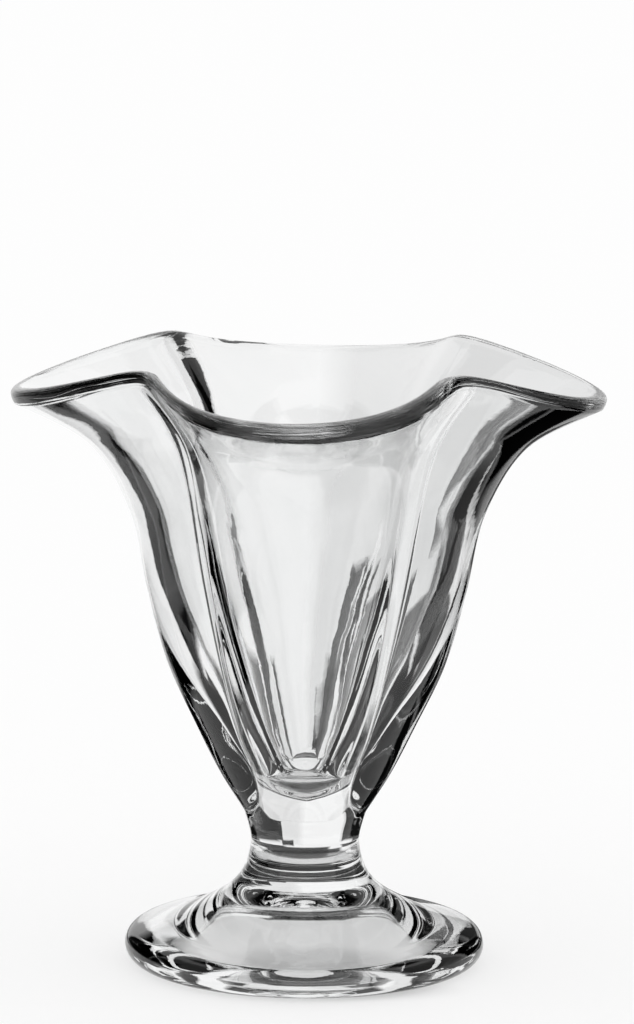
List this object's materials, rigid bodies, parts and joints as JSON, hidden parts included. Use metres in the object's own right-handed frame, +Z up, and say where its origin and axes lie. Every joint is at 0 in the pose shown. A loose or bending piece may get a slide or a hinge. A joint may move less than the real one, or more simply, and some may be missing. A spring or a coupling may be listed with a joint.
{
  "type": "ice cream cup",
  "caption": "Footed ice cream cup in clear pressed glass: a tulip bowl of flared petals on a short waisted stem and a round foot, hollow underneath.",
  "frame": {"origin": "centre of the flat ring under the foot, on the surface that the cup stands on", "axes": "+Z up along the cup's axis; one petal points along each of +X, -X, +Y and -Y, and -Y faces the viewer"},
  "size_m": [0.1212, 0.1212, 0.1264],
  "materials": {
    "pressed_glass": "clear soda-lime glass, pressed and fire polished"
  },
  "bodies": {
    "root": {"foot": "pressed_glass", "stem": "pressed_glass", "bowl": "pressed_glass"}
  },
  "joints": []
}
